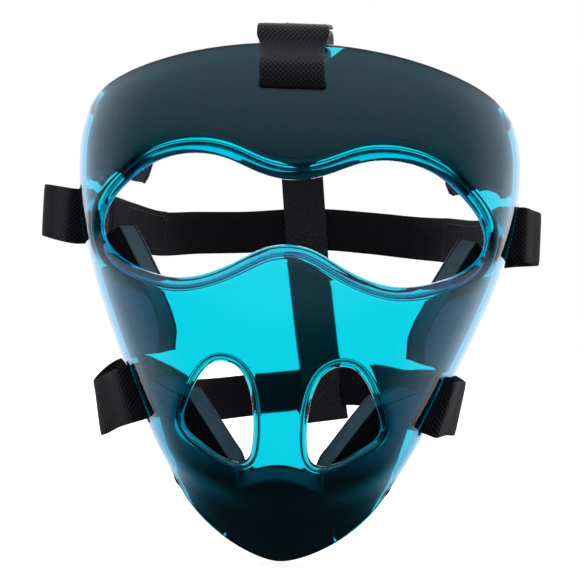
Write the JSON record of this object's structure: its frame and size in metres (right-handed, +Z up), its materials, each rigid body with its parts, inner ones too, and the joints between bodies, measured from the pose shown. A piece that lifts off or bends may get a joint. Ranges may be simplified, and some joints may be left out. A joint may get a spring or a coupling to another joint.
{
  "type": "sports face guard",
  "caption": "Clear moulded face guard with eye and breathing openings, foam pads inside, and an elastic head harness looped through slots in its rim.",
  "frame": {"origin": "between the wearer's temples, in the plane of the shell's rear rim, level with the nose bridge", "axes": "+Z up, -Y the way the wearer looks, +X to the wearer's left"},
  "size_m": [0.2222, 0.2312, 0.2703],
  "materials": {
    "clear_shell": "polished transparent teal polycarbonate",
    "foam": "closed cell foam, matt",
    "lining": "brushed knit laminate",
    "webbing": "waffle woven polyester webbing",
    "elastic": "twill woven elastic",
    "hook_tape": "moulded hook tape"
  },
  "bodies": {
    "mask": {"shell": "clear_shell", "forehead_backing": "lining", "forehead_foam": "foam", "forehead_lining": "lining", "cheek_right_backing": "lining", "cheek_right_foam": "foam", "cheek_right_lining": "lining", "cheek_left_backing": "lining", "cheek_left_foam": "foam", "cheek_left_lining": "lining", "jaw_right_backing": "lining", "jaw_right_foam": "foam", "jaw_right_lining": "lining", "jaw_left_backing": "lining", "jaw_left_foam": "foam", "jaw_left_lining": "lining", "chin_backing": "lining", "chin_foam": "foam", "chin_lining": "lining", "crown_turn": "webbing", "upper_turn_right": "elastic", "upper_turn_left": "elastic", "lower_turn_right": "elastic", "lower_turn_left": "elastic"},
    "harness": {"crown_strap": "webbing", "upper_band": "elastic", "lower_band": "elastic"},
    "crown_end": {"crown_tab": "webbing", "crown_hook": "hook_tape"},
    "upper_end_right": {"upper_tab_right": "elastic", "upper_hook_right": "hook_tape"},
    "upper_end_left": {"upper_tab_left": "elastic", "upper_hook_left": "hook_tape"},
    "lower_end_right": {"lower_tab_right": "elastic", "lower_hook_right": "hook_tape"},
    "lower_end_left": {"lower_tab_left": "elastic", "lower_hook_left": "hook_tape"}
  },
  "joints": [
    {"name": "harness_stretch", "type": "slide", "parent": "mask", "child": "harness", "axis": [0, 1, 0], "range_m": [0, 0.02]},
    {"name": "crown_peel", "type": "hinge", "parent": "mask", "child": "crown_end", "pos_m": [0, -0.0218, 0.08045], "axis": [1, 0, 0], "range_deg": [0, 140]},
    {"name": "upper_peel_right", "type": "hinge", "parent": "mask", "child": "upper_end_right", "pos_m": [-0.0972, 0.0385, -0.012], "axis": [0, 0, -1], "range_deg": [0, 120]},
    {"name": "upper_peel_left", "type": "hinge", "parent": "mask", "child": "upper_end_left", "pos_m": [0.0972, 0.0385, -0.012], "axis": [0, 0, 1], "range_deg": [0, 120]},
    {"name": "lower_peel_right", "type": "hinge", "parent": "mask", "child": "lower_end_right", "pos_m": [-0.0721, 0.0208, -0.091], "axis": [0, 0, -1], "range_deg": [0, 120]},
    {"name": "lower_peel_left", "type": "hinge", "parent": "mask", "child": "lower_end_left", "pos_m": [0.0721, 0.0208, -0.091], "axis": [0, 0, 1], "range_deg": [0, 120]}
  ]
}
